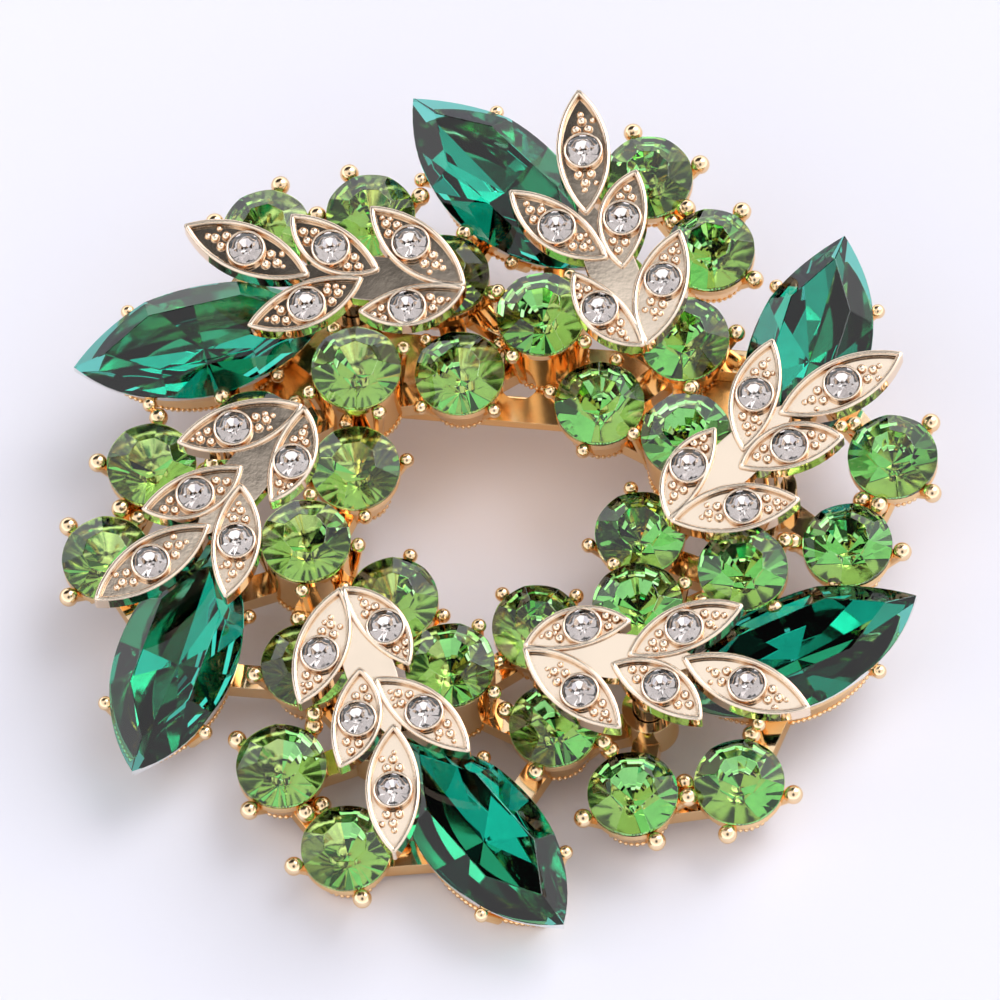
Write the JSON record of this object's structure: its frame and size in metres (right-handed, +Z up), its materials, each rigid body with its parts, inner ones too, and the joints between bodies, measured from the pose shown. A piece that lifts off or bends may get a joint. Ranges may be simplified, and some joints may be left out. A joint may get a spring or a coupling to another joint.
{
  "type": "brooch",
  "caption": "Round wreath brooch of gilt cups with pointed-oval and round cut stones, raised leaf sprays set with small clear stones, and a plain pin back.",
  "frame": {"origin": "bottom centre of the bounding box, on the table that the brooch lies on, face up", "axes": "+Z up, +X along the pin bar towards its hinge block, +Y towards the pin's side of the wreath"},
  "size_m": [0.0504, 0.0506, 0.0148],
  "materials": {
    "gilt_metal": "polished pale gold plate with matt grained recesses",
    "pin_metal": "plain polished gold plate",
    "emerald_glass": "faceted deep green glass, foiled behind",
    "peridot_glass": "faceted yellow-green glass, foiled behind",
    "crystal_glass": "faceted clear glass, foiled behind"
  },
  "bodies": {
    "root": {"crystals_1": "crystal_glass", "crystals_2": "crystal_glass", "crystals_3": "crystal_glass", "crystals_4": "crystal_glass", "crystals_5": "crystal_glass", "crystals_6": "crystal_glass", "emerald_1": "emerald_glass", "emerald_2": "emerald_glass", "emerald_3": "emerald_glass", "emerald_4": "emerald_glass", "emerald_5": "emerald_glass", "emerald_6": "emerald_glass", "leaf_spray_1": "gilt_metal", "leaf_spray_2": "gilt_metal", "leaf_spray_3": "gilt_metal", "leaf_spray_4": "gilt_metal", "leaf_spray_5": "gilt_metal", "leaf_spray_6": "gilt_metal", "peridot_1_a": "peridot_glass", "peridot_1_b": "peridot_glass", "peridot_1_c": "peridot_glass", "peridot_1_d": "peridot_glass", "peridot_1_e": "peridot_glass", "peridot_2_a": "peridot_glass", "peridot_2_b": "peridot_glass", "peridot_2_c": "peridot_glass", "peridot_2_d": "peridot_glass", "peridot_2_e": "peridot_glass", "peridot_3_a": "peridot_glass", "peridot_3_b": "peridot_glass", "peridot_3_c": "peridot_glass", "peridot_3_d": "peridot_glass", "peridot_3_e": "peridot_glass", "peridot_4_a": "peridot_glass", "peridot_4_b": "peridot_glass", "peridot_4_c": "peridot_glass", "peridot_4_d": "peridot_glass", "peridot_4_e": "peridot_glass", "peridot_5_a": "peridot_glass", "peridot_5_b": "peridot_glass", "peridot_5_c": "peridot_glass", "peridot_5_d": "peridot_glass", "peridot_5_e": "peridot_glass", "peridot_6_a": "peridot_glass", "peridot_6_b": "peridot_glass", "peridot_6_c": "peridot_glass", "peridot_6_d": "peridot_glass", "peridot_6_e": "peridot_glass", "pin_back": "pin_metal", "wreath_frame": "gilt_metal"}
  },
  "joints": []
}
